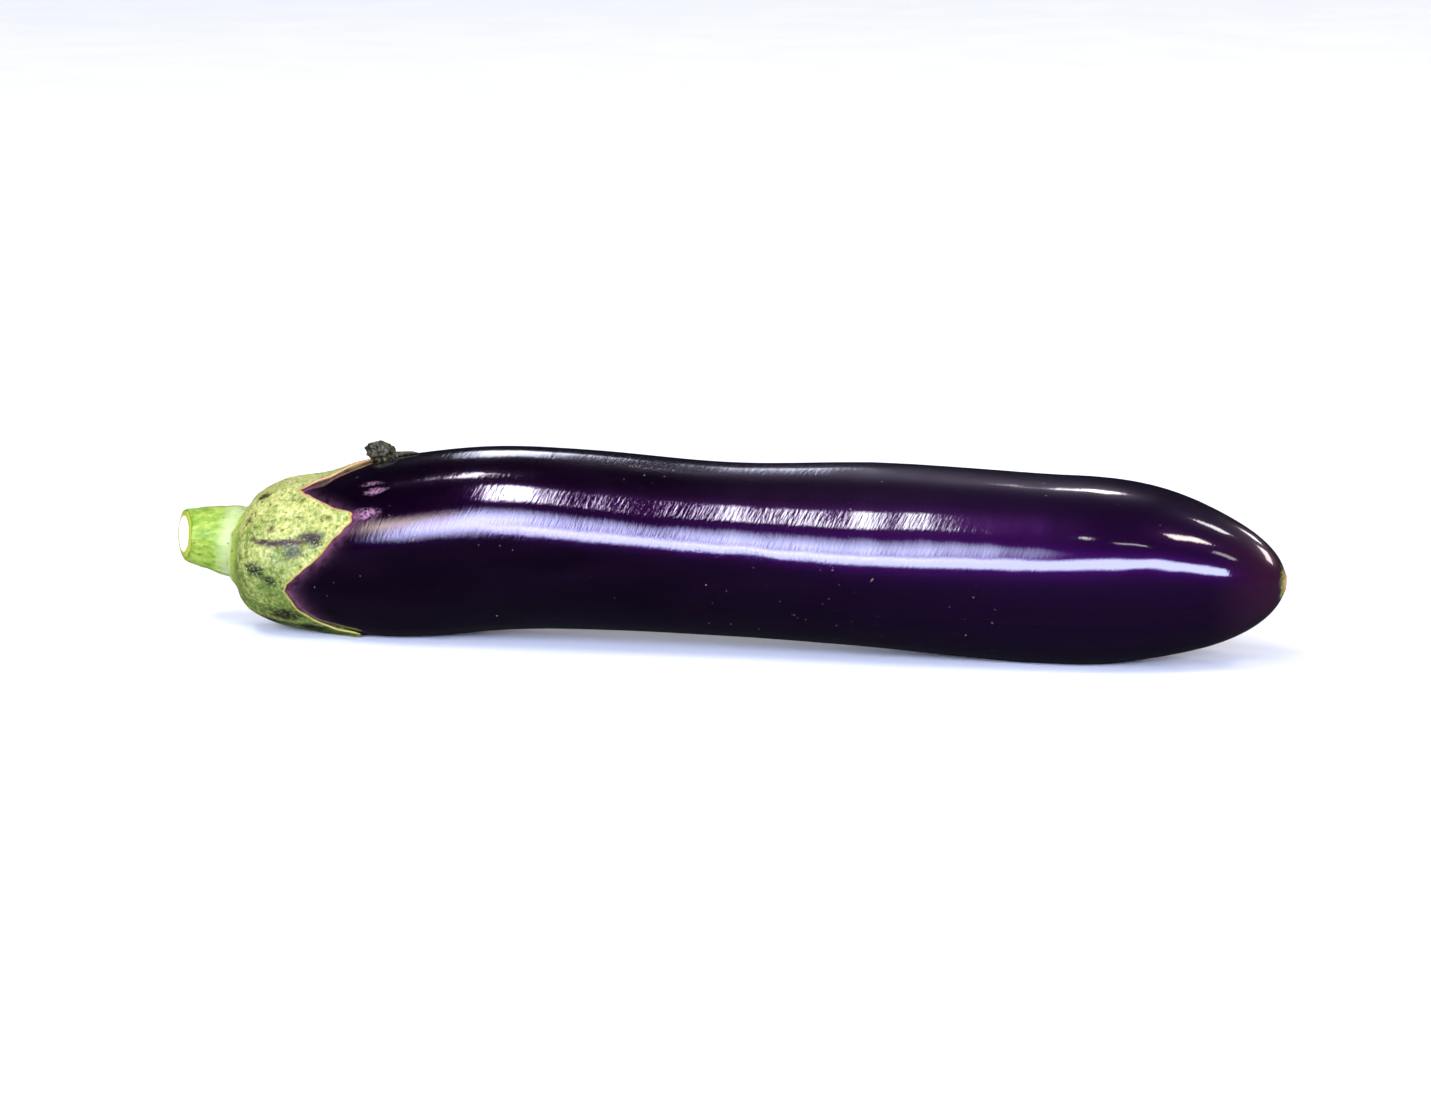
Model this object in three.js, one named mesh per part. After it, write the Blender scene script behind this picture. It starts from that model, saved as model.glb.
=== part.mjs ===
// A long purple eggplant lying on its side: the fruit, the green calyx over
// its stem end and the cut stub of its stem. Millimetres, +Z up, with the
// stem towards -X. The origin is on the ground, under the middle of the box
// around all three.
import * as THREE from 'three';

// Fruit: lengths along it are measured from its stem-end pole.
const FRUIT_LENGTH = 288;
const COLLAR_DIAMETER = 42.4;
const SHOULDER_DIAMETER = 50.6;
const WAIST_DIAMETER = 46.8;
const BELLY_DIAMETER = 51;
const STEM_DOME_LENGTH = 16;
const BLOSSOM_DOME_LENGTH = 60;

// How it lies: the two spots it rests on are pressed flat by REST_DEPTH.
const REST_DEPTH = 0.9;
const ARCH_HEIGHT = 4.8;
const STEM_END_LIFT = 4.7;
const SIDE_BOW = 3;

// Calyx: lengths over its surface, from the stem's axis to tips and notches.
const SEPAL_THICKNESS = 1.3;
const SEPAL_EDGE_THICKNESS = 0.6;
const SEPAL_TIP_REACHES = [48, 50, 47, 43, 46];
const NOTCH_REACH = 28.5;
const FRONT_SEPAL_ANGLE = THREE.MathUtils.degToRad(161);
const SEPAL_ROUNDING = 0.12;

// Stem: a stub that flares where it meets the calyx, cut square.
const STEM_LENGTH = 16.5;
const STEM_CUT_DIAMETER = 14;
const STEM_BASE_DIAMETER = 19.4;
const STEM_CUT_BEVEL = 0.8;
const STEM_FLARE_POWER = 1.3;

// Clearance between pieces that touch.
const FIT_GAP = 0.3;

// Fineness of the surfaces.
const SIDES = 60;
const FRUIT_RINGS = 50;
const CALYX_RINGS = 24;
const STEM_SIDES = 30;
const SEAT_STEPS = 4;
const FLARE_STEPS = 6;

const TURN = 2 * Math.PI;
const COLLAR = COLLAR_DIAMETER / 2;
const SHOULDER = SHOULDER_DIAMETER / 2;
const WAIST = WAIST_DIAMETER / 2;
const BELLY = BELLY_DIAMETER / 2;

// The middle of a flat facet dips below the curved surface that it stands
// for. The calyx clears the fruit by this much more: the sag of a chord as
// long as a facet, which is a ring's spacing and its slant between two sides,
// on the tightest curve of the stem end's dome.
const LONGEST_SEPAL = Math.max(...SEPAL_TIP_REACHES);
const RING_SPACING = LONGEST_SEPAL / (CALYX_RINGS - 1);
const RING_SLANT = (LONGEST_SEPAL - NOTCH_REACH) * SEPAL_TIP_REACHES.length / SIDES;
const DOME_CURVE_RADIUS = STEM_DOME_LENGTH ** 2 / COLLAR;
const FACET_DIP = (RING_SPACING + RING_SLANT) ** 2 / (8 * DOME_CURVE_RADIUS);
const UNDERSIDE_GAP = FIT_GAP + FACET_DIP;

// Stations along the fruit: where each lies as a share of the length, the
// girth's radius without its rounded ends, the underside's clearance above
// the ground as a share of ARCH_HEIGHT, and the sideways bow as a share of
// SIDE_BOW.
const STATIONS = [
  { place: 0, radius: 0.955 * COLLAR, arch: STEM_END_LIFT / ARCH_HEIGHT, bow: -0.1 },
  { place: 0.026, radius: 0.96 * COLLAR, arch: 0.8, bow: -0.02 },
  { place: 0.055, radius: 0.975 * COLLAR, arch: 0.58, bow: 0.05 },
  { place: 0.1, radius: 0.85 * COLLAR + 0.15 * SHOULDER, arch: 0.2, bow: 0.18 },
  { place: 0.135, radius: 0.32 * COLLAR + 0.68 * SHOULDER, arch: 0, bow: 0.3 },
  { place: 0.165, radius: 0.08 * COLLAR + 0.92 * SHOULDER, arch: 0.02, bow: 0.42 },
  { place: 0.2, radius: SHOULDER, arch: 0.27, bow: 0.55 },
  { place: 0.26, radius: SHOULDER, arch: 0.72, bow: 0.75 },
  { place: 0.33, radius: 0.7 * SHOULDER + 0.3 * WAIST, arch: 0.94, bow: 0.92 },
  { place: 0.47, radius: WAIST, arch: 1, bow: 1 },
  { place: 0.62, radius: 0.6 * WAIST + 0.4 * BELLY, arch: 0.8, bow: 0.8 },
  { place: 0.71, radius: 0.15 * WAIST + 0.85 * BELLY, arch: 0.3, bow: 0.5 },
  { place: 0.785, radius: BELLY, arch: 0, bow: 0.2 },
  { place: 0.86, radius: BELLY, arch: 0, bow: -0.2 },
  { place: 0.93, radius: 0.97 * BELLY, arch: -0.12, bow: -0.55 },
  { place: 1, radius: 0.96 * BELLY, arch: -0.2, bow: -1 },
];

const places = STATIONS.map((station) => station.place * FRUIT_LENGTH);

// A smooth curve through one quantity of the stations.
function along(quantity) {
  const values = STATIONS.map(quantity);
  return new THREE.CubicInterpolant(places, values, 1);
}

const bodyRadius = along((station) => station.radius);
const spineHeight = along((station) => station.radius + station.arch * ARCH_HEIGHT - REST_DEPTH);
const spineBow = along((station) => -station.bow * SIDE_BOW);

// The share of the full radius that a rounded end leaves at a distance from
// its pole: a quarter of an ellipse.
function domeShare(fromPole, domeLength) {
  const inside = 1 - Math.min(fromPole / domeLength, 1);
  return Math.sqrt(Math.max(1 - inside * inside, 0));
}

// The fruit's outline as (distance along, radius), from pole to pole.
class FruitOutline extends THREE.Curve {
  getPoint(t) {
    const distance = FRUIT_LENGTH * (1 - Math.cos(Math.PI * t)) / 2;
    const ends = domeShare(distance, STEM_DOME_LENGTH)
      * domeShare(FRUIT_LENGTH - distance, BLOSSOM_DOME_LENGTH);
    return new THREE.Vector2(distance, bodyRadius.evaluate(distance)[0] * ends);
  }
}

const outline = new FruitOutline();
outline.arcLengthDivisions = 2000;
const outlineLength = outline.getLength();

// The spine's centre at a distance along it, straight beyond the stem end.
function spinePoint(distance) {
  const inside = THREE.MathUtils.clamp(distance, 0, FRUIT_LENGTH);
  return new THREE.Vector3(inside, spineBow.evaluate(inside)[0], spineHeight.evaluate(inside)[0]);
}

// The spine's direction, from two points a small step apart.
function spineDirection(distance) {
  const step = 0.5;
  const middle = THREE.MathUtils.clamp(distance, step, FRUIT_LENGTH - step);
  return spinePoint(middle + step).sub(spinePoint(middle - step)).normalize();
}

// A point at a distance along the spine, a radius away from it and turned
// about it: 0 is +Y, a quarter turn is up, half a turn is -Y.
function placeOnSpine(distance, radius, angle) {
  const inside = THREE.MathUtils.clamp(distance, 0, FRUIT_LENGTH);
  const direction = spineDirection(inside);
  const level = new THREE.Vector3(0, 0, 1).cross(direction).normalize();
  const upright = direction.clone().cross(level);
  return spinePoint(inside)
    .addScaledVector(direction, distance - inside)
    .addScaledVector(level, radius * Math.cos(angle))
    .addScaledVector(upright, radius * Math.sin(angle));
}

// The outline's point at a reach over the surface from the stem-end pole,
// moved out from the skin by an offset.
function offOutline(reach, offset) {
  const share = THREE.MathUtils.clamp(reach / outlineLength, 0, 1);
  const point = outline.getPointAt(share);
  const tangent = outline.getTangentAt(share);
  return new THREE.Vector2(point.x - offset * tangent.y, point.y + offset * tangent.x);
}

// Turns a lathe's profile of (radius, distance) into a solid about the spine.
// pointAt(row, angle) may give each row and angle its own (distance, radius).
function turnAboutSpine(rows, sides, pointAt) {
  const geometry = new THREE.LatheGeometry(
    Array.from({ length: rows }, (_, row) => new THREE.Vector2(1, row)), sides);
  const position = geometry.attributes.position;
  for (let i = 0; i < position.count; i += 1) {
    const row = i % rows;
    const side = Math.floor(i / rows) % sides;
    const angle = TURN * side / sides;
    const { x: distance, y: radius } = pointAt(row, angle);
    position.setXYZ(i, ...placeOnSpine(distance, radius, angle));
  }
  geometry.computeVertexNormals();
  return geometry;
}

function fruit() {
  const last = FRUIT_RINGS - 1;
  const geometry = turnAboutSpine(FRUIT_RINGS, SIDES, (row) => {
    const point = outline.getPoint(row / last);
    return row === 0 || row === last ? point.setY(0) : point;
  });
  const position = geometry.attributes.position;
  for (let i = 0; i < position.count; i += 1) {
    position.setZ(i, Math.max(position.getZ(i), 0));
  }
  return geometry;
}

// How far the calyx reaches over the fruit at an angle: straight-sided
// sepals with slightly rounded tips and notches halfway between them.
function sepalReach(angle) {
  const count = SEPAL_TIP_REACHES.length;
  const fromFront = (FRONT_SEPAL_ANGLE - angle) / TURN * count;
  const nearest = Math.round(fromFront);
  const away = Math.abs(fromFront - nearest) * 2;
  const tip = SEPAL_TIP_REACHES[((nearest % count) + count) % count];
  const taper = 1 + SEPAL_ROUNDING - Math.hypot(away, SEPAL_ROUNDING);
  return NOTCH_REACH + (tip - NOTCH_REACH) * Math.max(taper, 0);
}

// The calyx is a thin cap: its rows run over the outside from the stem's
// axis to the sepals' edges, then back under them to the axis.
function calyx() {
  const rows = 2 * CALYX_RINGS;
  return turnAboutSpine(rows, SIDES, (row, angle) => {
    const outside = row < CALYX_RINGS;
    const share = (outside ? row : rows - 1 - row) / (CALYX_RINGS - 1);
    const thickness = THREE.MathUtils.lerp(SEPAL_THICKNESS, SEPAL_EDGE_THICKNESS, share ** 3);
    const offset = UNDERSIDE_GAP + (outside ? thickness : 0);
    const point = offOutline(share * sepalReach(angle), offset);
    return share === 0 ? point.setY(0) : point;
  });
}

// The stem's profile: over its seat on the calyx, up its flare, round the
// bevel at the cut and in across the cut face.
function stemProfile() {
  const seat = UNDERSIDE_GAP + SEPAL_THICKNESS + FIT_GAP;
  const baseRadius = STEM_BASE_DIAMETER / 2;
  const cutRadius = STEM_CUT_DIAMETER / 2;
  const axis = offOutline(0, seat).setY(0);
  const points = [axis];
  for (let step = 1; step <= SEAT_STEPS; step += 1) {
    points.push(offOutline(baseRadius * step / SEAT_STEPS, seat));
  }
  const rim = points.at(-1);
  const cut = axis.x - STEM_LENGTH;
  for (let step = 1; step <= FLARE_STEPS; step += 1) {
    const share = step / FLARE_STEPS;
    const distance = THREE.MathUtils.lerp(rim.x, cut + STEM_CUT_BEVEL, share);
    const radius = cutRadius + (rim.y - cutRadius) * (1 - share) ** STEM_FLARE_POWER;
    points.push(new THREE.Vector2(distance, radius));
  }
  points.push(new THREE.Vector2(cut, cutRadius - STEM_CUT_BEVEL));
  points.push(new THREE.Vector2(cut, cutRadius / 2));
  points.push(new THREE.Vector2(cut, 0));
  return points;
}

function stem() {
  const profile = stemProfile().reverse();
  return turnAboutSpine(profile.length, STEM_SIDES, (row) => profile[row]);
}

function piece(name, geometry, colour, roughness) {
  const material = new THREE.MeshStandardMaterial({ color: colour, roughness, metalness: 0 });
  const mesh = new THREE.Mesh(geometry, material);
  mesh.name = name;
  return mesh;
}

const group = new THREE.Group();
group.add(piece('fruit', fruit(), '#2a0f33', 0.15));
group.add(piece('calyx', calyx(), '#a9c267', 0.6));
group.add(piece('stem', stem(), '#a6c93f', 0.6));

const box = new THREE.Box3().setFromObject(group);
const middle = box.getCenter(new THREE.Vector3());
group.position.set(-middle.x, -middle.y, -box.min.z);

export default group;
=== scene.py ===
"""A long purple eggplant on a pale studio floor.

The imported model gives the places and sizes. The fruit is a fine skin over the
packed fruit's own shape, the calyx is a cap of five sepals laid over that
skin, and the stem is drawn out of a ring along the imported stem's axis.
"""
import math

import bpy
import numpy as np
from mathutils import Matrix, Vector, noise
from mathutils.bvhtree import BVHTree


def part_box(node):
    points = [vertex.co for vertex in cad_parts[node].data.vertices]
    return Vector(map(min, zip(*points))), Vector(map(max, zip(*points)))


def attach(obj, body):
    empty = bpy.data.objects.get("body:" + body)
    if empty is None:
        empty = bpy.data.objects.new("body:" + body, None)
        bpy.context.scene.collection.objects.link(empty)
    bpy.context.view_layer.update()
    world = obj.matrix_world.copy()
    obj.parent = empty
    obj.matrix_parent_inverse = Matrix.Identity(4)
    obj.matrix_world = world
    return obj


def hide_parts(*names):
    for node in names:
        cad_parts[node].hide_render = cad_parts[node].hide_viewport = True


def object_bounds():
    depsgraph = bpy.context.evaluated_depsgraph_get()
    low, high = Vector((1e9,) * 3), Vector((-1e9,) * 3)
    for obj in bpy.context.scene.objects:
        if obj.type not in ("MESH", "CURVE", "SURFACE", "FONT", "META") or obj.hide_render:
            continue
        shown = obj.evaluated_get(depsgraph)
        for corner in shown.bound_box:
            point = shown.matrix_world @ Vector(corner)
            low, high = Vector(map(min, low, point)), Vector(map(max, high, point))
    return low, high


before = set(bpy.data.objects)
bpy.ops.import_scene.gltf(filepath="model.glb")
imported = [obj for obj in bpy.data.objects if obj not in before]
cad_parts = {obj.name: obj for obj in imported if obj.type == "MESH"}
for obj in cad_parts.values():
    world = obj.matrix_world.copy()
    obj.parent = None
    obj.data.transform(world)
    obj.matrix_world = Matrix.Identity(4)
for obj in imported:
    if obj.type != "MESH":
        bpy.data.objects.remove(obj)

PACKED_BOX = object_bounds()
MM = 0.001

# The camera stands a little above the fruit, nearer to its blossom end.
CAMERA_AZIMUTH = math.radians(12)
CAMERA_ELEVATION = math.radians(10)
CAMERA_DISTANCE = 1.6
FRAME_FILL = 0.78
SENSOR_WIDTH = 36

# The fruit: vertices closer than this are one, and the scar's rings each go in
# by the first number and out of the fruit by the second, in millimetres.
SKIN_WELD = 0.002 * MM
SCAR_RADIUS = 2.8 * MM
SCAR_RINGS = [(0.25, 0.10), (0.45, 0.28), (0.45, -0.15), (0.5, -0.35), (0.4, 0.18)]

# How much the section leans into an oval along the fruit: x and the lean's
# swell, in millimetres.
OVAL_LEANS = [(-134, 0), (-100, 0.2), (-80, 0.7), (-62, 1.25), (-45, 1.1), (-29, 0.4), (-10, 0.0),
              (12, -0.35), (30, -1.0), (42, -1.25), (54, -0.95), (68, -0.4), (80, 0.0),
              (93, 0.3), (110, 0.15), (130, 0), (154, 0)]

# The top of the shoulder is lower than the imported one: where, over what
# breadth and by how much, in millimetres. Nothing swells near the blossom end.
SHOULDER_PLACE = -124
SHOULDER_BREADTH = 11
SHOULDER_DIP = 2.0
SLOW_SWELL = 0.22
RIDGE_SWELL = 0.12
STILL_END = 20 * MM

# The stem end: a dome of this length, whose arc is this long, seen from an
# axis through the middles of the fruit's sections at these depths.
DOME_LENGTH = 16 * MM
DOME_REACH = 29.2 * MM
AXIS_DEPTHS = (0.4 * MM, 9 * MM, 45 * MM)

# How far the calyx reaches over the skin, in millimetres from the stem's
# axis, at turns round that axis in degrees: 0 is the camera's side, 90 is up.
SEPAL_OUTLINE = [
    (-24, 32), (-43, 35), (-53, 38.5), (-60, 43.5), (-64, 48), (-68, 49.5), (-71, 48), (-79, 40.5),
    (-90, 33.5), (-98, 36.5), (-108, 42), (-117, 47), (-121, 48), (-125, 48), (-130, 45), (-140, 39.5),
    (-152, 35), (-163, 33), (-171, 36), (-181, 42), (-190, 47), (-195, 50.5), (-200, 51), (-204, 50),
    (-213, 44), (-223, 38), (-235, 33.5), (-245, 37.5), (-255, 44), (-262, 50), (-267, 53.5),
    (-271, 54.5), (-275, 52.5), (-281, 47), (-287, 41.5), (-293, 37.5), (-299, 35.5), (-307, 38),
    (-316, 43), (-323, 46.5), (-326, 48.5), (-328, 52.5), (-330, 53.5), (-335, 53), (-338, 51.5),
    (-342, 50), (-348, 47), (-356, 44), (-362, 41), (-371, 36), (-378, 33), (-384, 32),
]
OUTLINE_TURNS = np.array([turn for turn, _ in SEPAL_OUTLINE][::-1])
OUTLINE_REACHES = np.array([reach for _, reach in SEPAL_OUTLINE][::-1])
NOTCH_TURNS = np.array([-24, -90, -163, -235, -299, -384])

CALYX_COLUMNS = 240
CALYX_ROWS = 44
CALYX_START = 7.0 * MM
CALYX_WELD = 0.005 * MM
SEPAL_THICKNESS = 1.1 * MM
EDGE_THICKNESS_SHARE = 0.42
THIN_EDGE = 3.5
SINK_UNDER_CALYX = 0.7 * MM
LAST_REACH_NEAR_CALYX = 80 * MM

# Marks on the skin and the sepals: reach and turn, the mark's length and
# breadth in millimetres, and its strength.
SKIN_SCUFFS = [(57.5, 30, 5.5, 2.4, 0.9), (59.0, 45, 5.0, 1.5, 0.8), (57.0, 52, 5.0, 1.0, 0.6)]
BROWN_MARKS = [
    (21, 34, 2.5, 2.5, 1.0), (29.5, 24, 1.5, 2, 1.0), (32.5, 13, 17, 2, 1.0), (40.5, 17, 7, 1.5, 1.0),
    (25.5, 62, 3, 2, 1.0), (46, 30, 2.5, 1.5, 0.9), (37.5, 33, 1.5, 1, 0.9), (28.5, -52, 8, 1.5, 1.0),
    (34.5, -60, 8, 1.5, 1.0),
]
DARK_MARKS = [
    (23.5, 64, 4, 4.5, 1.0), (24, -10, 5.5, 4.5, 1.0), (28.5, -16, 3, 3, 1.0), (42, 15, 6, 4, 1.0),
    (35.5, 6, 6, 3, 0.9), (30.5, -47, 9, 3.5, 1.0), (36.5, -63, 9, 5.5, 1.0), (25.5, -62, 7, 4, 1.0),
    (34.5, 150, 7, 4.5, 0.9), (29.5, -120, 8, 5.5, 1.0), (39.5, 95, 6, 3, 0.9),
]

# The dried tip: where on the top sepal it sits, and where its thread starts
# and ends, each as a reach and a turn in degrees.
NUB_SEAT = (56.5 * MM, 88.5)
NUB_SIZE = (3.5 * MM, 2.7 * MM, 2.9 * MM)
NUB_LIFT = 1.9 * MM
THREAD_START = (58.0 * MM, 88.5)
THREAD_END = (68.5 * MM, 84)
THREAD_RADII = (1.1 * MM, 0.12 * MM)

# The stem: its radius in millimetres at shares of its length, the rings of
# its cut face as steps in and out, and how the stub leans and is cut.
STEM_SIDES = 48
STEM_STATIONS = [(-0.22, 9.4), (-0.05, 9.8), (0.05, 9.85), (0.18, 9.35), (0.34, 8.7),
                 (0.52, 8.15), (0.7, 7.65), (0.86, 7.25), (0.96, 7.05), (0.99, 7.0), (1.0, 6.8)]
CUT_RINGS = [(0.35, 0.0), (0.3, -0.2), (0.45, -0.35), (1.3, 0.15), (1.5, -0.12), (1.2, 0.08)]
STEM_BEND = 1.3 * MM
CUT_SLANT = math.tan(math.radians(32))
CUT_PIVOT = 6.6 * MM
CUT_FACE_RADIUS = 6.25 * MM

LIGHT_DISTANCE = 4.5
FLOOR_SIZE = 5.4


# ---------------------------------------------------------------- helpers

def linear(hex_colour):
    """An sRGB hex colour as the linear values that Blender's sockets take."""
    channels = [int(hex_colour[i:i + 2], 16) / 255 for i in (1, 3, 5)]
    return [c / 12.92 if c <= 0.04045 else ((c + 0.055) / 1.055) ** 2.4 for c in channels] + [1.0]


def add(tree, kind, inputs=None, **settings):
    """Adds a node with its settings, and with each input set to a value or linked to a socket."""
    node = tree.nodes.new(kind)
    for name, value in settings.items():
        setattr(node, name, value)
    for key, value in (inputs or {}).items():
        socket = node.inputs[key]
        if isinstance(value, bpy.types.NodeSocket):
            tree.links.new(value, socket)
        else:
            socket.default_value = value
    return node


def ramp(tree, factor, stops):
    """Adds a colour ramp over a factor, from (place, hex colour) stops."""
    node = add(tree, "ShaderNodeValToRGB", {"Fac": factor})
    elements = node.color_ramp.elements
    while len(elements) < len(stops):
        elements.new(0.5)
    for element, (place, colour) in zip(elements, stops):
        element.position = place
        element.color = linear(colour)
    return node.outputs["Color"]


def mixed(tree, factor, first, second):
    """Adds a mix of two colours and returns its result."""
    node = add(tree, "ShaderNodeMix", {0: factor, 6: first, 7: second}, data_type="RGBA")
    return node.outputs[2]


def scaled(tree, value, low, high, to_low=0.0, to_high=1.0):
    """Maps a value from one range to another and clamps it."""
    node = add(tree, "ShaderNodeMapRange",
               {"Value": value, "From Min": low, "From Max": high, "To Min": to_low,
                "To Max": to_high})
    return node.outputs["Result"]


def product(tree, first, second):
    """Multiplies two numbers."""
    return add(tree, "ShaderNodeMath", {0: first, 1: second}, operation="MULTIPLY").outputs[0]


def grain(tree, coordinates, feature_mm, detail=2.0, roughness=0.5):
    """Noise whose features are about feature_mm across."""
    node = add(tree, "ShaderNodeTexNoise",
               {"Vector": coordinates, "Scale": 1 / (feature_mm * MM), "Detail": detail,
                "Roughness": roughness})
    return node.outputs["Fac"]


def stretched(tree, coordinates, scale, rotation=(0, 0, 0)):
    """Coordinates turned and then stretched, for a grain that runs one way."""
    turned = add(tree, "ShaderNodeMapping", {"Vector": coordinates, "Rotation": rotation})
    longer = add(tree, "ShaderNodeMapping", {"Vector": turned.outputs[0], "Scale": scale})
    return longer.outputs["Vector"]


def attribute(tree, name):
    """A value stored on the mesh."""
    return add(tree, "ShaderNodeAttribute", attribute_name=name).outputs["Fac"]


def bumped(tree, height, strength, distance_mm, below=None):
    """Adds a bump over a height, on top of another bump if there is one."""
    inputs = {"Height": height, "Strength": strength, "Distance": distance_mm * MM}
    if below:
        inputs["Normal"] = below
    return add(tree, "ShaderNodeBump", inputs).outputs["Normal"]


def new_material(name):
    """A material with an empty node tree."""
    material = bpy.data.materials.new(name)
    material.use_nodes = True
    material.node_tree.nodes.clear()
    return material, material.node_tree


def finish_material(tree, shader):
    """Links a shader to the material's output."""
    add(tree, "ShaderNodeOutputMaterial", {"Surface": shader.outputs["BSDF"]})


def deselect():
    """Leaves edit mode and deselects everything."""
    if bpy.context.object and bpy.context.object.mode != "OBJECT":
        bpy.ops.object.mode_set(mode="OBJECT")
    bpy.ops.object.select_all(action="DESELECT")


def activate(piece):
    """Makes a piece the only one selected, and the active one."""
    deselect()
    piece.select_set(True)
    bpy.context.view_layer.objects.active = piece


def apply_modifier(piece, kind, **settings):
    """Adds a modifier to a piece with its settings and applies it."""
    activate(piece)
    modifier = piece.modifiers.new(kind.title(), kind)
    for name, value in settings.items():
        setattr(modifier, name, value)
    bpy.ops.object.modifier_apply(modifier=modifier.name)


def store(piece, name, values):
    """Stores one number per vertex on a piece's mesh."""
    layer = piece.data.attributes.new(name, "FLOAT", "POINT")
    layer.data.foreach_set("value", np.ascontiguousarray(values, dtype=np.float32))


def places(mesh):
    """The mesh's vertices as an array of points."""
    points = np.empty(len(mesh.vertices) * 3)
    mesh.vertices.foreach_get("co", points)
    return points.reshape(-1, 3)


def put_places(mesh, points):
    """Moves the mesh's vertices to an array of points."""
    mesh.vertices.foreach_set("co", np.ascontiguousarray(points).ravel())
    mesh.update()


def speckle(point, size_mm, shift=0.0):
    """Noise at a point, from -1 to 1, with features of about size_mm."""
    return noise.noise(Vector(point) / (size_mm * MM) + Vector((shift, shift, shift)))


# ---------------------------------------------------------------- the fruit

def fruit_skin():
    """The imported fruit's own shape with its facets joined, evened and divided finely."""
    skin = bpy.data.objects.new("fruit_skin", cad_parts["fruit"].data.copy())
    bpy.context.collection.objects.link(skin)
    skin.data.materials.clear()
    activate(skin)
    bpy.ops.object.mode_set(mode="EDIT")
    bpy.ops.mesh.select_all(action="SELECT")
    bpy.ops.mesh.remove_doubles(threshold=SKIN_WELD)
    bpy.ops.mesh.tris_convert_to_quads(face_threshold=math.radians(60),
                                       shape_threshold=math.radians(60))
    bpy.ops.object.mode_set(mode="OBJECT")
    tip = blossom_scar(skin)
    apply_modifier(skin, "SUBSURF", levels=2, render_levels=2)
    grown_unevenness(skin)
    bpy.ops.object.shade_smooth()
    from_tip = np.linalg.norm(places(skin.data) - np.array(tip), axis=1) / MM
    store(skin, "from_blossom", np.minimum(from_tip, 80))
    low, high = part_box("fruit")
    store(skin, "along", (places(skin.data)[:, 0] - low.x) / (high.x - low.x))
    return skin


def blossom_scar(skin):
    """Replaces the blossom end's last fan of faces with a corky scar: a low rim round a dish."""
    tip = max(skin.data.vertices, key=lambda v: v.co.x).co.copy()
    activate(skin)
    bpy.ops.object.mode_set(mode="EDIT")
    bpy.ops.mesh.select_all(action="DESELECT")
    bpy.ops.object.mode_set(mode="OBJECT")
    for face in skin.data.polygons:
        face.select = all((skin.data.vertices[i].co - tip).length < SCAR_RADIUS
                          for i in face.vertices)
    bpy.ops.object.mode_set(mode="EDIT")
    bpy.ops.mesh.dissolve_faces()
    for inset, depth in SCAR_RINGS:
        bpy.ops.mesh.inset(thickness=inset * MM, depth=depth * MM)
    bpy.ops.mesh.poke()
    bpy.ops.object.mode_set(mode="OBJECT")
    return tip


def section_middles(points):
    """The height of the section's middle at places along the fruit."""
    edges = np.linspace(points[:, 0].min(), points[:, 0].max(), 41)
    where = np.digitize(points[:, 0], edges[1:-1])
    heights = [points[where == i, 2] for i in range(40)]
    return (edges[1:] + edges[:-1]) / 2, [(h.min() + h.max()) / 2 for h in heights]


def grown_unevenness(skin):
    """Moves the skin in and out by a fraction of a millimetre, as no fruit grows true."""
    points = places(skin.data)
    normals = np.array([v.normal for v in skin.data.vertices])
    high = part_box("fruit")[1]
    leaning = np.interp(points[:, 0] / MM, *zip(*OVAL_LEANS))
    level = np.interp(points[:, 0], *section_middles(points))
    upward = np.arctan2(points[:, 2] - level, -points[:, 1])
    swell = leaning * np.sin(2 * upward)
    shoulder = np.exp(-((points[:, 0] / MM - SHOULDER_PLACE) / SHOULDER_BREADTH) ** 2)
    swell -= SHOULDER_DIP * shoulder * np.maximum(np.sin(upward), 0)
    for i, (x, y, z) in enumerate(points):
        slow = noise.noise((x / 0.045, y / 0.03, z / 0.03))
        ridges = noise.noise((x / 0.09, y / 0.011, z / 0.011 + 7.0))
        swell[i] += SLOW_SWELL * slow + RIDGE_SWELL * ridges
    from_end = np.clip((high.x - points[:, 0]) / STILL_END, 0, 1)
    points += normals * (swell * from_end * MM)[:, None]
    points[:, 2] = np.maximum(points[:, 2], 0)
    put_places(skin.data, points)


# ---------------------------------------------------------------- the stem end's own measure

class PackedStem:
    """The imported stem's axis: the middle of its cut face, its way out and its widest ring."""

    def __init__(self):
        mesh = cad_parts["stem"].data
        end = min(v.co.x for v in mesh.vertices)
        cut = [f for f in mesh.polygons if f.normal.x < -0.9 and f.center.x < end + 5 * MM]
        area = sum(f.area for f in cut)
        self.out = sum((f.normal * f.area for f in cut), Vector()).normalized()
        self.cut_centre = sum((f.center * f.area for f in cut), Vector()) / area
        points = places(mesh) - np.array(self.cut_centre)
        depth = -(points @ np.array(self.out))
        radius = np.linalg.norm(points + depth[:, None] * np.array(self.out), axis=1)
        self.length = depth[radius > radius.max() - 0.3 * MM].mean()
        self.ring_centre = self.cut_centre - self.out * self.length


def middle_at(tree, x):
    """The middle of the fruit's section at x."""
    probe = Vector((x, 0, 23 * MM))
    for axis in (1, 2, 1, 2):
        way = Vector((0, 0, 0))
        way[axis] = 1
        start = probe.copy()
        start[axis] = 0.2
        upper = tree.ray_cast(start, -way)[0]
        start[axis] = -0.2
        lower = tree.ray_cast(start, way)[0]
        probe[axis] = (upper[axis] + lower[axis]) / 2
    return probe


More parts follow.
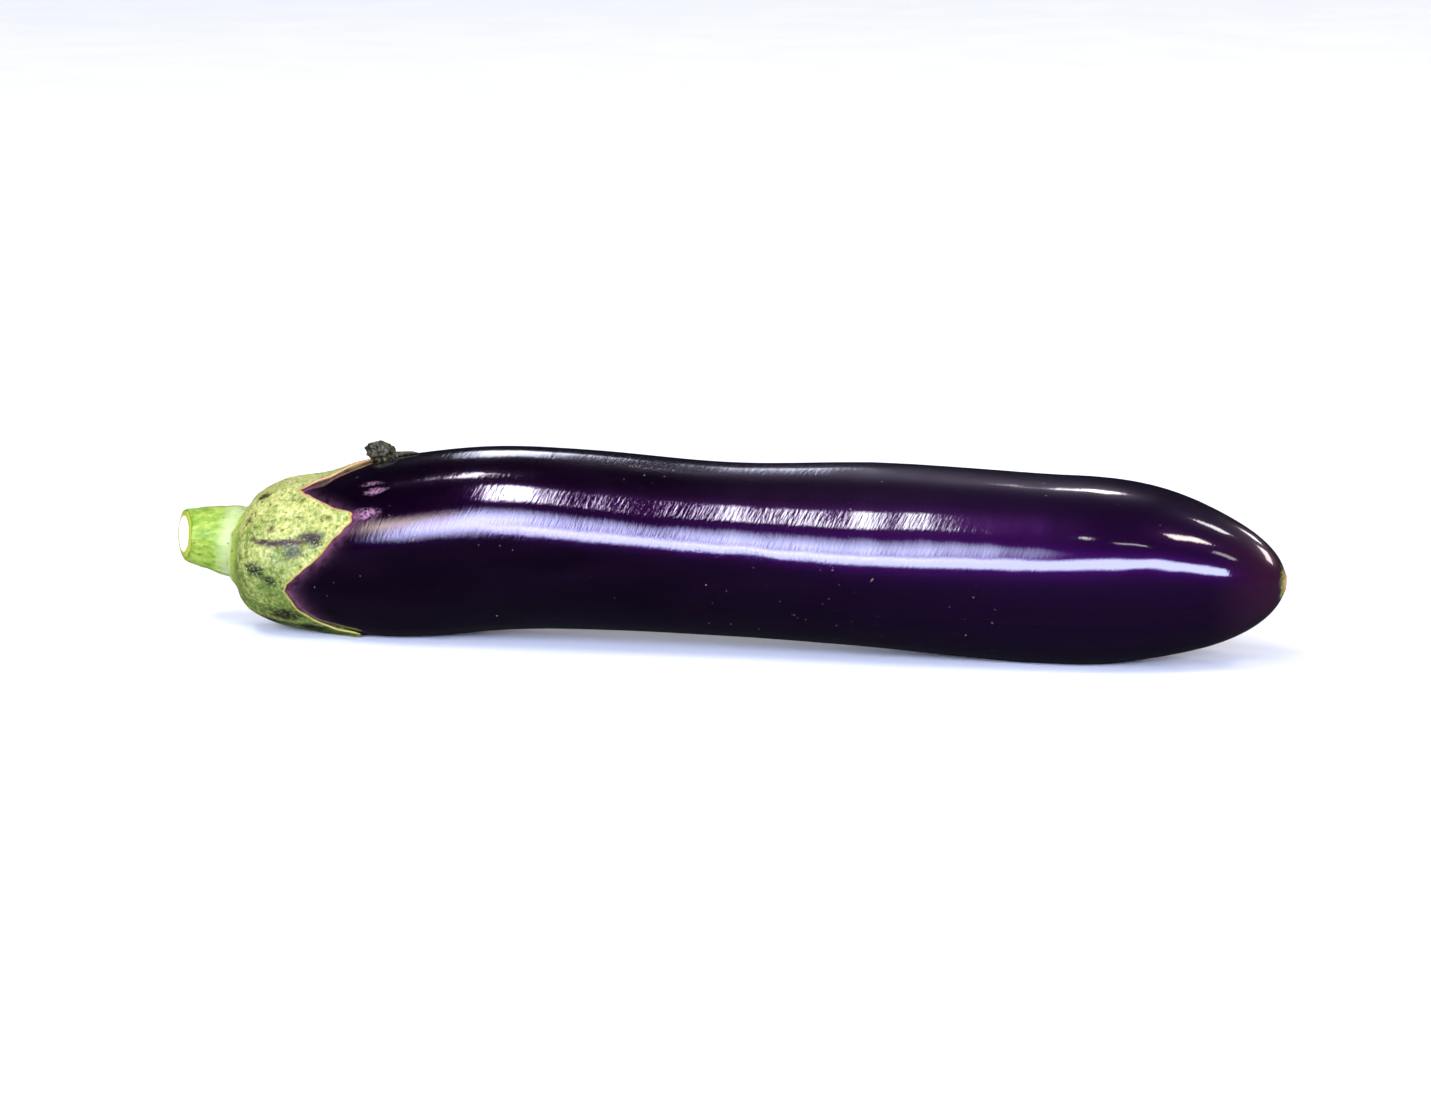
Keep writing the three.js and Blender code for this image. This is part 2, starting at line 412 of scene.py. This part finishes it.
class StemEnd:
    """Points over the fruit's stem end by their reach from the stem's axis and turn about it."""

    def __init__(self, skin, ring_centre):
        depsgraph = bpy.context.evaluated_depsgraph_get()
        self.tree = BVHTree.FromObject(skin, depsgraph)
        packed = BVHTree.FromObject(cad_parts["fruit"], depsgraph)
        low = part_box("fruit")[0]
        self.pole, near, far = (middle_at(packed, low.x + depth) for depth in AXIS_DEPTHS)
        self.along = (near * 0.55 + far * 0.45 - self.pole).normalized()
        self.side = self.along.cross(Vector((0, 0, 1))).normalized()
        self.up = self.side.cross(self.along).normalized()
        self.centre = self.pole + self.along * DOME_LENGTH
        self.stemward = (ring_centre - self.centre).normalized()

    def out(self, turn):
        """The direction away from the axis at a turn."""
        return self.side * math.cos(turn) + self.up * math.sin(turn)

    def point(self, reach, turn):
        """The skin's point at a reach over the surface and a turn about the axis."""
        if reach < DOME_REACH:
            polar = reach / DOME_REACH * math.pi / 2
            start = self.centre
            way = self.out(turn) * math.sin(polar) + self.stemward * math.cos(polar)
        else:
            start = self.centre + self.along * (reach - DOME_REACH)
            way = self.out(turn)
        return self.tree.ray_cast(start, way)[0]

    def reach_and_turn(self, point):
        """The reach and turn of a point on the skin."""
        from_centre = Vector(point) - self.centre
        ahead = from_centre.dot(self.along)
        turn = math.atan2(from_centre.dot(self.up), from_centre.dot(self.side))
        if ahead > 0:
            return DOME_REACH + ahead, turn
        polar = math.atan2((from_centre - self.along * ahead).length, -ahead)
        return polar / (math.pi / 2) * DOME_REACH, turn


def sepal_edge(turn):
    """How far the calyx reaches at a turn, with a finely ragged edge."""
    degrees = (math.degrees(turn) + 24) % 360 - 384
    reach = float(np.interp(degrees, OUTLINE_TURNS, OUTLINE_REACHES))
    tipness = min(max((reach - 41) / 12, 0), 1)
    ragged = noise.fractal((math.cos(turn) * 16, math.sin(turn) * 16, 3.0), 0.7, 2.0, 3)
    return (reach + ragged * (0.3 + 0.9 * tipness)) * MM


def across_sepal(turn):
    """How far across its sepal a turn lies: -1 and 1 at the notches, 0 on the middle."""
    degrees = (math.degrees(turn) + 24) % 360 - 384
    upper = NOTCH_TURNS[NOTCH_TURNS > degrees + 1e-9].min()
    lower = NOTCH_TURNS[NOTCH_TURNS <= degrees + 1e-9].max()
    return (degrees - lower) / (upper - lower) * 2 - 1


def fit_skin_to_calyx(skin, stem_end):
    """Sinks the skin under the calyx, and stores how far beyond its edge and how scuffed it is."""
    where = [stem_end.reach_and_turn(vertex.co) for vertex in skin.data.vertices]
    past = [(reach - sepal_edge(turn)) / MM if reach < LAST_REACH_NEAR_CALYX else 60.0
            for reach, turn in where]
    store(skin, "past_calyx", past)
    sunk = SINK_UNDER_CALYX * np.clip((-1 - np.array(past)) / 4, 0, 1)
    normals = np.array([v.normal for v in skin.data.vertices])
    put_places(skin.data, places(skin.data) - normals * sunk[:, None])
    scuffed = [marked(SKIN_SCUFFS, reach, turn, vertex.co) if reach < LAST_REACH_NEAR_CALYX else 0.0
               for (reach, turn), vertex in zip(where, skin.data.vertices)]
    store(skin, "scuffed", scuffed)


# ---------------------------------------------------------------- the calyx

def marked(marks, reach, turn, point):
    """How strongly a set of marks shows at a reach and turn, with ragged borders."""
    strongest = 0.0
    for mark_reach, mark_turn, length, breadth, strength in marks:
        ahead = (reach / MM - mark_reach) / (length / 2)
        swing = math.remainder(turn - math.radians(mark_turn), 2 * math.pi)
        aside = swing * min(reach / MM, 21) / (breadth / 2)
        away = math.hypot(ahead, aside) + 0.55 * speckle(point, 1.0) + 0.3 * speckle(point, 0.5)
        strongest = max(strongest, strength * min(max((1.35 - away) / 0.7, 0), 1))
    return strongest


def calyx_cap(stem_end):
    """A grid wrapped about the stem end, with each column ending at the sepals' edge."""
    bpy.ops.mesh.primitive_grid_add(x_subdivisions=CALYX_COLUMNS, y_subdivisions=CALYX_ROWS,
                                    size=2)
    cap = bpy.context.object
    cap.name = "calyx_cap"
    flat = places(cap.data)
    column = np.rint((flat[:, 0] + 1) / 2 * CALYX_COLUMNS).astype(int)
    row = np.rint((flat[:, 1] + 1) / 2 * CALYX_ROWS).astype(int)
    turns = np.arange(CALYX_COLUMNS + 1) / CALYX_COLUMNS * 2 * math.pi
    turns[-1] = 0
    edges = np.array([sepal_edge(turn) for turn in turns])
    shares = np.sin(np.linspace(0, 1, CALYX_ROWS + 1) * math.pi / 2) ** 0.9
    reaches = CALYX_START + (edges - CALYX_START)[:, None] * shares[None, :]
    spots = [(c, r) for c in range(len(turns)) for r in range(len(shares))]
    surface = np.array([stem_end.point(reaches[c, r], turns[c]) for c, r in spots])
    surface = surface.reshape(len(turns), len(shares), 3)
    height = np.array([sepal_height(reaches[c, r], turns[c], edges[c], surface[c, r])
                       for c, r in spots]).reshape(len(turns), len(shares))
    outside = surface + grid_normals(surface) * height[:, :, None]
    put_places(cap.data, outside[column, row])
    store(cap, "to_edge", ((edges[:, None] - reaches) / MM)[column, row])
    store(cap, "reach", (reaches / MM)[column, row])
    for name, marks in (("brown", BROWN_MARKS), ("dark", DARK_MARKS)):
        shown = np.array([marked(marks, reaches[c, r], turns[c], surface[c, r]) for c, r in spots])
        store(cap, name, shown.reshape(len(turns), len(shares))[column, row])
    # Painted shade: the sepals are darkened the further round they face down; the same value picks the
    # yellow rim on the lower edges.
    shade = np.array([0.5 - 0.5 * math.sin(turn - 0.25) for turn in turns])
    store(cap, "underside_shade", shade[column])
    return cap


def grid_normals(surface):
    """Outward normals of a closed grid of points, from the differences along it and round it."""
    down = np.gradient(surface, axis=1)
    ring = surface[:-1]
    round_ring = (np.roll(ring, -1, axis=0) - np.roll(ring, 1, axis=0)) / 2
    around = np.concatenate([round_ring, round_ring[:1]])
    normals = np.cross(around, down)
    normals /= np.linalg.norm(normals, axis=2, keepdims=True)
    middle = surface.mean(axis=(0, 1))
    if (normals * (surface - middle)).sum() < 0:
        normals = -normals
    return normals


def sepal_height(reach, turn, edge, point):
    """How high the calyx's outside stands over the skin: fleshy by the stem, thin at the edge."""
    to_edge = (edge - reach) / MM
    thick = 0.45 + 0.1 * min(to_edge / THIN_EDGE, 1)
    fleshy = 0.35 * min(max((26 - reach / MM) / 14, 0), 1)
    lift = 0.1 + 0.6 * math.exp(-to_edge / 1.5) * (0.6 + speckle(point, 5.0))
    aside = across_sepal(turn) * 0.6 * min(reach / MM, 22)
    rib = 0.45 * math.exp(-(aside / 1.5) ** 2) * min(max(to_edge / 10, 0), 1)
    fold = 0.30 * speckle(point, 5.0, 3.0) + 0.13 * speckle(point, 1.9, 9.0)
    collar = 0.65 * math.exp(-((reach / MM - 10.9) / 0.95) ** 2)
    furrow = -0.55 * math.exp(-((reach / MM - 14.0) / 1.6) ** 2)
    return (thick + fleshy + lift + rib + fold + collar + furrow) * MM


def dried_tip(stem_end):
    """The withered end of the top sepal: a gnarled nub and the thread it trails.

    The thread's bends are not the same each run: Blender seeds noise_vector by the
    clock, which moves the thread's points by some tenths of a millimetre.
    """
    seat, first, last = (stem_end.point(reach, math.radians(turn))
                         for reach, turn in (NUB_SEAT, THREAD_START, THREAD_END))
    bpy.ops.mesh.primitive_ico_sphere_add(subdivisions=5, radius=1,
                                          location=seat + Vector((0, 0, NUB_LIFT)),
                                          scale=NUB_SIZE)
    nub = bpy.context.object
    nub.name = "dried_tip"
    bpy.ops.object.transform_apply(location=True, rotation=True, scale=True)
    points = places(nub.data)
    middle = points.mean(axis=0)
    for i, point in enumerate(points):
        knob = noise.fractal(Vector(point) / (2.6 * MM), 0.8, 2.0, 4)
        points[i] = middle + (point - middle) * (1 + 0.42 * knob)
    put_places(nub.data, points)
    first = first + Vector((0, 0, 0.9 * MM))
    last = last + Vector((0, 0, 0.35 * MM))
    way = last - first
    bpy.ops.mesh.primitive_cone_add(vertices=16, radius1=THREAD_RADII[0],
                                    radius2=THREAD_RADII[1], depth=way.length,
                                    location=(first + last) / 2,
                                    rotation=way.to_track_quat("Z", "Y").to_euler())
    thread = bpy.context.object
    bpy.ops.object.transform_apply(location=True, rotation=True, scale=True)
    apply_modifier(thread, "SUBSURF", levels=2, render_levels=2)
    points = places(thread.data)
    for i, point in enumerate(points):
        points[i] += np.array(noise.noise_vector(Vector(point) / (2.2 * MM))) * 0.35 * MM
    put_places(thread.data, points)
    nub.select_set(True)
    bpy.context.view_layer.objects.active = nub
    bpy.ops.object.join()
    store(nub, "dried", np.ones(len(nub.data.vertices)))
    bpy.ops.object.shade_smooth()
    return nub


def calyx(stem_end):
    """The cap given its thickness, with thinner edges, and joined to the dried tip."""
    cap = calyx_cap(stem_end)
    activate(cap)
    bpy.ops.object.mode_set(mode="EDIT")
    bpy.ops.mesh.select_all(action="SELECT")
    bpy.ops.mesh.remove_doubles(threshold=CALYX_WELD)
    bpy.ops.mesh.normals_make_consistent(inside=False)
    bpy.ops.object.mode_set(mode="OBJECT")
    thickness = cap.vertex_groups.new(name="thickness")
    for i, value in enumerate(cap.data.attributes["to_edge"].data):
        inward = min(value.value / THIN_EDGE, 1)
        share = EDGE_THICKNESS_SHARE + (1 - EDGE_THICKNESS_SHARE) * inward
        thickness.add([i], share, "REPLACE")
    apply_modifier(cap, "SOLIDIFY", thickness=SEPAL_THICKNESS, offset=-1,
                   vertex_group="thickness")
    apply_modifier(cap, "SUBSURF", levels=1, render_levels=1)
    bpy.ops.object.shade_smooth()
    nub = dried_tip(stem_end)
    activate(nub)
    cap.select_set(True)
    bpy.context.view_layer.objects.active = cap
    bpy.ops.object.join()
    return cap


# ---------------------------------------------------------------- the stem

def stem(packed):
    """A ring drawn out along the stem's axis, then cut: a firm rim round a sunken corky middle."""
    first_share, first_radius = STEM_STATIONS[0]
    start = packed.ring_centre + packed.out * first_share * packed.length
    turned = packed.out.to_track_quat("Z", "Y").to_euler()
    bpy.ops.mesh.primitive_circle_add(vertices=STEM_SIDES, radius=first_radius * MM,
                                      location=start, rotation=turned, fill_type="NOTHING")
    stub = bpy.context.object
    stub.name = "stem_stub"
    bpy.ops.object.transform_apply(location=True, rotation=True, scale=True)
    bpy.ops.object.mode_set(mode="EDIT")
    bpy.ops.mesh.select_all(action="SELECT")
    share, radius = first_share, first_radius
    for next_share, next_radius in STEM_STATIONS[1:]:
        step = packed.out * (next_share - share) * packed.length
        bpy.ops.mesh.extrude_region_move(TRANSFORM_OT_translate={"value": step})
        centre = packed.ring_centre + packed.out * next_share * packed.length
        k = next_radius / radius
        bpy.ops.transform.resize(value=(k, k, k), center_override=centre)
        share, radius = next_share, next_radius
    bpy.ops.mesh.edge_face_add()
    for inset, depth in CUT_RINGS:
        bpy.ops.mesh.inset(thickness=inset * MM, depth=depth * MM)
    bpy.ops.mesh.poke()
    bpy.ops.mesh.select_all(action="SELECT")
    bpy.ops.mesh.normals_make_consistent(inside=False)
    bpy.ops.object.mode_set(mode="OBJECT")
    apply_modifier(stub, "SUBSURF", levels=2, render_levels=2)
    grown_stem(stub, packed)
    bpy.ops.object.shade_smooth()
    return stub


def grown_stem(stub, packed):
    """Gives the stub soft ribs, an uneven skin, a slight bend and a slanting cut."""
    points = places(stub.data)
    out = np.array(packed.out)
    from_ring = points - np.array(packed.ring_centre)
    depth = from_ring @ out
    away = from_ring - depth[:, None] * out
    radius = np.linalg.norm(away, axis=1)
    near = np.cross(out, (0, 0, 1.0))
    near /= np.linalg.norm(near)
    if near[1] > 0:
        near = -near
    up = np.cross(near, out)
    turn = np.arctan2(away @ up, away @ near)
    share = depth / packed.length
    ribs = 0.26 * np.cos(5 * turn + 0.6) + 0.14 * np.cos(3 * turn + 2.0)
    rough = np.array([0.25 * speckle(p, 4.0) + 0.1 * speckle(p, 1.5) for p in points])
    shown = np.clip(radius / (6.2 * MM), 0, 1) ** 4
    points += away / np.maximum(radius, 1e-6)[:, None] * ((ribs + rough) * shown * MM)[:, None]
    bend = STEM_BEND * np.clip(share, 0, 1) ** 2
    points += near * bend[:, None]
    cut_share = np.clip((share - 0.45) / 0.55, 0, 1) ** 1.5
    toward = away @ near
    points -= out * (CUT_SLANT * (toward + CUT_PIVOT) * cut_share)[:, None]
    put_places(stub.data, points)
    at_cut = (share > 0.93) & (radius < CUT_FACE_RADIUS)
    store(stub, "cut", np.where(at_cut, 1.0, 0.0))
    store(stub, "from_axis", radius / MM)
    store(stub, "share", share)


# ---------------------------------------------------------------- materials

def skin_material():
    """Waxy eggplant skin: a clear cuticle over deep purple cells."""
    material, tree = new_material("eggplant_skin_waxed")
    spot = add(tree, "ShaderNodeTexCoord").outputs["Object"]
    cells = grain(tree, stretched(tree, spot, (0.3, 1.0, 1.0)), 7.0, detail=5.0)
    colour = ramp(tree, cells, [(0.3, "#030005"), (0.55, "#060108"), (0.8, "#0b030e")])
    # Painted light: the blossom half's base colour is a little more purple, standing in for the purple
    # glow that light gives round its main highlight.
    painted_glow = scaled(tree, attribute(tree, "along"), 0.42, 0.75)
    colour = mixed(tree, painted_glow, colour, linear("#0a0210"))
    past = attribute(tree, "past_calyx")
    edge_noise = grain(tree, spot, 2.2, detail=3.0)
    young = ramp(tree, scaled(tree, past, -1.0, 9.0),
                 [(0.0, "#7c4458"), (0.14, "#5a3346"), (0.3, "#3a222f"), (0.6, "#1e0f1a"),
                  (1.0, "#0b020f")])
    near_calyx = product(tree, scaled(tree, past, 9.0, 1.0), scaled(tree, edge_noise, 0.2, 0.55))
    colour = mixed(tree, near_calyx, colour, young)
    scuffed = product(tree, attribute(tree, "scuffed"),
                      scaled(tree, grain(tree, spot, 0.8, detail=3.0), 0.38, 0.55))
    colour = mixed(tree, scuffed, colour, linear("#8d6478"))
    flecks = grain(tree, spot, 1.3, detail=1.0)
    fleck_patches = grain(tree, spot, 26.0, detail=1.0)
    flecked = product(tree, scaled(tree, flecks, 0.76, 0.8), scaled(tree, fleck_patches, 0.5, 0.62))
    colour = mixed(tree, flecked, colour, linear("#7c6650"))
    tip = attribute(tree, "from_blossom")
    colour = mixed(tree, scaled(tree, tip, 26.0, 4.0, 0.0, 0.8), colour, linear("#2e1020"))
    streaks = grain(tree, stretched(tree, spot, (0.25, 1.0, 1.0)), 0.8, detail=2.0)
    scar_edge = add(tree, "ShaderNodeMath", {0: tip, 1: scaled(tree, streaks, 0.3, 0.7, -1.1, 1.1)},
                    operation="ADD").outputs[0]
    scar = ramp(tree, scaled(tree, scar_edge, 0.0, 6.0),
                [(0.0, "#5b3a22"), (0.12, "#6e4a2a"), (0.2, "#b08a5a"), (0.42, "#c49a62"),
                 (0.52, "#93602e"), (0.62, "#7f8a3a"), (0.8, "#3d3626"), (1.0, "#2e1020")])
    colour = mixed(tree, scaled(tree, scar_edge, 6.0, 4.6), colour, scar)

    along = attribute(tree, "along")
    feathers = grain(tree, stretched(tree, spot, (1.0, 0.2, 0.2), (0.0, -0.35, 0.1)), 0.8,
                     detail=3.0, roughness=0.6)
    feathery = scaled(tree, along, 0.85, 0.35, 0.25, 1.0)
    feathered = product(tree, feathers, feathery)
    broad = grain(tree, spot, 13.0, detail=1.0)
    pores = grain(tree, spot, 0.5, detail=1.0)
    normal = bumped(tree, broad, 0.35, 0.5)
    normal = bumped(tree, feathered, 0.5, 0.1, normal)
    normal = bumped(tree, pores, 0.12, 0.02, normal)
    shader = add(tree, "ShaderNodeBsdfPrincipled",
                 {"Base Color": colour, "IOR": 1.5,
                  "Roughness": scaled(tree, along, 0.3, 0.7, 0.18, 0.32),
                  "Specular Tint": linear("#8e1fb0"), "Specular IOR Level": 0.4,
                  "Coat Weight": 1.0, "Coat Roughness": 0.06, "Coat IOR": 1.5,
                  "Normal": normal, "Coat Normal": normal})
    finish_material(tree, shader)
    return material


def sepal_material():
    """Fleshy sepal: pale yellow-green, mottled, with brown and dark green marks and a pink edge, and
    painted shade that darkens the lower sepals.
    """
    material, tree = new_material("fresh_green_sepal")
    spot = add(tree, "ShaderNodeTexCoord").outputs["Object"]
    mottle = grain(tree, spot, 1.0, detail=5.0, roughness=0.7)
    patches = grain(tree, spot, 6.0, detail=3.0)
    green = ramp(tree, mottle, [(0.32, "#4a5a1c"), (0.42, "#7d8638"), (0.52, "#9a9a52"),
                                (0.68, "#bcb07e")])
    deep = ramp(tree, mottle, [(0.3, "#2a3d10"), (0.5, "#566722"), (0.7, "#868c44")])
    # Random deep green patches, plus painted shade that darkens the lower sepals.
    under = attribute(tree, "underside_shade")
    deep_patches_and_shade = scaled(tree, add(tree, "ShaderNodeMath", {0: patches, 1: product(tree, under, 0.5)},
                                operation="ADD").outputs[0], 0.62, 0.95)
    colour = mixed(tree, deep_patches_and_shade, green, deep)
    reach = attribute(tree, "reach")
    by_stem = product(tree, scaled(tree, reach, 17.0, 13.5), 0.6)
    colour = mixed(tree, by_stem, colour, linear("#85962c"))
    collar = product(tree, scaled(tree, reach, 12.6, 11.4), 0.75)
    colour = mixed(tree, collar, colour, linear("#a9b080"))
    fine = grain(tree, spot, 0.6, detail=3.0)
    dark = product(tree, attribute(tree, "dark"), scaled(tree, fine, 0.3, 0.48))
    colour = mixed(tree, dark, colour, linear("#121c08"))
    brown = product(tree, attribute(tree, "brown"), scaled(tree, fine, 0.25, 0.42))
    colour = mixed(tree, brown, colour, linear("#2e1512"))
    freckles = grain(tree, spot, 1.5, detail=2.0)
    colour = mixed(tree, product(tree, scaled(tree, freckles, 0.62, 0.68), 0.8), colour,
                   linear("#454314"))
    edge = attribute(tree, "to_edge")
    rim_colour = mixed(tree, under, linear("#a8624c"), linear("#928a38"))
    colour = mixed(tree, scaled(tree, edge, 0.65, 0.3, 0.0, 0.75), colour, rim_colour)
    dried = ramp(tree, mottle, [(0.38, "#0b0802"), (0.52, "#1f1a06"), (0.64, "#575018")])
    colour = mixed(tree, attribute(tree, "dried"), colour, dried)
    normal = bumped(tree, grain(tree, spot, 2.4, detail=3.0), 0.6, 0.6)
    normal = bumped(tree, grain(tree, spot, 0.5, detail=2.0), 0.45, 0.12, normal)
    shader = add(tree, "ShaderNodeBsdfPrincipled",
                 {"Base Color": colour, "Roughness": 0.5, "IOR": 1.42, "Normal": normal})
    finish_material(tree, shader)
    return material


def stalk_material():
    """Fresh stalk: bright yellow-green skin, and a pale corky cut inside a green rim."""
    material, tree = new_material("fresh_cut_stalk")
    spot = add(tree, "ShaderNodeTexCoord").outputs["Object"]
    fibres = grain(tree, stretched(tree, spot, (0.4, 1.0, 1.0)), 1.3, detail=5.0, roughness=0.65)
    green = ramp(tree, fibres, [(0.3, "#4f6f14"), (0.5, "#748a26"), (0.65, "#8f9d40"),
                                (0.8, "#b0b573")])
    pale = product(tree, scaled(tree, attribute(tree, "share"), 0.22, 0.02), 0.7)
    colour = mixed(tree, pale, green, linear("#9ba66e"))
    dark = grain(tree, spot, 1.8, detail=3.0)
    colour = mixed(tree, product(tree, scaled(tree, dark, 0.64, 0.7), 0.6), colour,
                   linear("#2e460c"))
    cork = ramp(tree, grain(tree, spot, 0.8, detail=4.0),
                [(0.3, "#ddcba4"), (0.5, "#f4ebd2"), (0.7, "#fdf9ec")])
    pith = scaled(tree, attribute(tree, "from_axis"), 2.6, 1.6)
    cork = mixed(tree, product(tree, pith, 0.5), cork, linear("#b79a63"))
    rim = scaled(tree, attribute(tree, "from_axis"), 4.5, 5.1)
    cork = mixed(tree, rim, cork, linear("#93992c"))
    colour = mixed(tree, attribute(tree, "cut"), colour, cork)
    normal = bumped(tree, fibres, 0.5, 0.25)
    shader = add(tree, "ShaderNodeBsdfPrincipled",
                 {"Base Color": colour, "Roughness": 0.48, "IOR": 1.42, "Normal": normal})
    finish_material(tree, shader)
    return material


# ---------------------------------------------------------------- the studio

def facing(azimuth, elevation):
    """The direction from the fruit to something at an azimuth and elevation."""
    return Vector((math.sin(azimuth) * math.cos(elevation),
                   -math.cos(azimuth) * math.cos(elevation), math.sin(elevation)))


def camera(target):
    """A camera that looks at a target and takes in the fruit's whole length."""
    data = bpy.data.cameras.new("camera")
    seen_width = (PACKED_BOX[1].x - PACKED_BOX[0].x) * math.cos(CAMERA_AZIMUTH)
    data.sensor_width = SENSOR_WIDTH
    data.lens = SENSOR_WIDTH * CAMERA_DISTANCE * FRAME_FILL / seen_width
    stand = bpy.data.objects.new("camera", data)
    bpy.context.collection.objects.link(stand)
    back = facing(CAMERA_AZIMUTH, CAMERA_ELEVATION)
    level = (-back).to_track_quat("-Z", "Y").to_matrix().to_4x4()
    stand.matrix_world = Matrix.Translation(target + back * CAMERA_DISTANCE) @ level
    bpy.context.scene.camera = stand


def softbox(name, start, end, breadth, radiance, colour="#ffffff", soft=0.35):
    """A strip of light between two (azimuth, elevation) places, as seen from the fruit.

    soft is the part of its half-breadth over which its edges fade out.
    """
    first, last = (facing(math.radians(a), math.radians(e)) for a, e in (start, end))
    way = (first + last).normalized()
    long_side = (last - first).normalized()
    data = bpy.data.lights.new(name, "AREA")
    data.shape = "RECTANGLE"
    data.size = LIGHT_DISTANCE * (last / last.dot(way) - first / first.dot(way)).length
    data.size_y = 2 * LIGHT_DISTANCE * math.tan(math.radians(breadth) / 2)
    data.energy = radiance * math.pi * data.size * data.size_y
    data.color = linear(colour)[:3]
    data.use_nodes = True
    tree = data.node_tree
    tree.nodes.clear()
    across = add(tree, "ShaderNodeSeparateXYZ",
                 {0: add(tree, "ShaderNodeNewGeometry").outputs["Parametric"]})
    fades = 1.0
    for side in ("X", "Y"):
        share = soft if side == "Y" else soft * min(1.0, data.size_y / data.size)
        off_middle = add(tree, "ShaderNodeMath", {0: across.outputs[side], 1: 0.5},
                         operation="SUBTRACT").outputs[0]
        off_middle = add(tree, "ShaderNodeMath", {0: off_middle}, operation="ABSOLUTE").outputs[0]
        fades = product(tree, fades, scaled(tree, off_middle, 0.5, 0.5 - 0.5 * share))
    glow = add(tree, "ShaderNodeEmission", {"Strength": fades})
    add(tree, "ShaderNodeOutputLight", {"Surface": glow.outputs[0]})
    light = bpy.data.objects.new(name, data)
    bpy.context.collection.objects.link(light)
    turned = Matrix((long_side, way.cross(long_side), way)).transposed().to_4x4()
    middle = Vector((0, 0, 0.026))
    light.matrix_world = Matrix.Translation(middle + way * LIGHT_DISTANCE) @ turned
    light.visible_camera = False


def studio_lights():
    """Windows in front, a tube overhead and small lamps round about, as long soft highlights."""
    softbox("window_warm", (-46, 22), (-26, 29), 20, 13, "#fff0dc", 0.9)
    softbox("window_left", (-33, 27), (-8, 13), 36, 30, "#cddaff", 0.7)
    softbox("window_right", (-14, 10), (58, 17), 15, 26, "#cfdaff", 0.4)
    softbox("ceiling_tube", (-38, 68), (-19, 47), 8, 52, "#f4f6ff", 0.7)
    softbox("ceiling_patch", (-88, 65), (-106, 70), 6, 34)
    softbox("back_window", (-155, 47), (-163, 29), 10, 7, "#e6eaff")
    softbox("back_patch", (-176, 59), (178, 51), 10, 24, "#ffffff", 0.6)
    softbox("lamp_a", (5, 49.5), (9, 49.5), 4, 18)
    softbox("lamp_b", (19, 45), (34, 42), 2.2, 9)
    softbox("lamp_c", (57, 55), (78, 52), 7, 26, "#fff4e6")
    softbox("lamp_d", (125, 50), (136, 54), 7, 14)
    softbox("lamp_e", (150, 26), (160, 26), 7, 9)
    softbox("lamp_f", (118, 22), (139, 30), 11, 12, "#fff0e6")
    softbox("lamp_g", (65, 41), (72, 33), 5, 7)


def studio_world():
    """A white room to look at, that lights things evenly and is dim in reflections."""
    world = bpy.data.worlds.new("pale_room")
    bpy.context.scene.world = world
    world.use_nodes = True
    tree = world.node_tree
    tree.nodes.clear()
    bright = add(tree, "ShaderNodeBackground", {"Color": linear("#f9faff"), "Strength": 0.16})
    dim = add(tree, "ShaderNodeBackground", {"Color": linear("#8f93a8"), "Strength": 0.03})
    rays = add(tree, "ShaderNodeLightPath")
    both = add(tree, "ShaderNodeMixShader", {0: rays.outputs["Is Glossy Ray"],
                                             1: bright.outputs[0], 2: dim.outputs[0]})
    backdrop = add(tree, "ShaderNodeBackground", {"Color": linear("#ffffff"), "Strength": 1.0})
    seen = add(tree, "ShaderNodeMixShader", {0: rays.outputs["Is Camera Ray"],
                                             1: both.outputs[0], 2: backdrop.outputs[0]})
    add(tree, "ShaderNodeOutputWorld", {"Surface": seen.outputs[0]})


def floor():
    """A matt white sweep, which is dark in the fruit's reflections."""
    bpy.ops.mesh.primitive_plane_add(size=FLOOR_SIZE)
    ground = bpy.context.object
    ground.name = "studio_floor"
    material, tree = new_material("matt_white_sweep")
    spot = add(tree, "ShaderNodeTexCoord").outputs["Object"]
    paper = ramp(tree, grain(tree, spot, 60.0, detail=2.0),
                 [(0.3, "#e2e2e4"), (0.7, "#e6e6e8")])
    rays = add(tree, "ShaderNodeLightPath")
    paper = mixed(tree, product(tree, rays.outputs["Is Glossy Ray"], 0.97), paper,
                  linear("#151018"))
    shader = add(tree, "ShaderNodeBsdfPrincipled",
                 {"Base Color": paper, "Roughness": 0.9, "Specular IOR Level": 0.0})
    finish_material(tree, shader)
    ground.data.materials.append(material)


# ---------------------------------------------------------------- putting it together

def stand_for(piece, node, material):
    """A finished piece takes its material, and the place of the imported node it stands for."""
    piece.data.materials.clear()
    piece.data.materials.append(material)
    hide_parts(node)
    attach(piece, "root")


def main():
    deselect()
    camera((PACKED_BOX[0] + PACKED_BOX[1]) / 2)
    studio_world()
    studio_lights()
    floor()
    packed_stem = PackedStem()
    skin = fruit_skin()
    stem_end = StemEnd(skin, packed_stem.ring_centre)
    fit_skin_to_calyx(skin, stem_end)
    stand_for(skin, "fruit", skin_material())
    stand_for(calyx(stem_end), "calyx", sepal_material())
    stand_for(stem(packed_stem), "stem", stalk_material())
    bpy.context.scene.view_settings.view_transform = "Standard"


main()
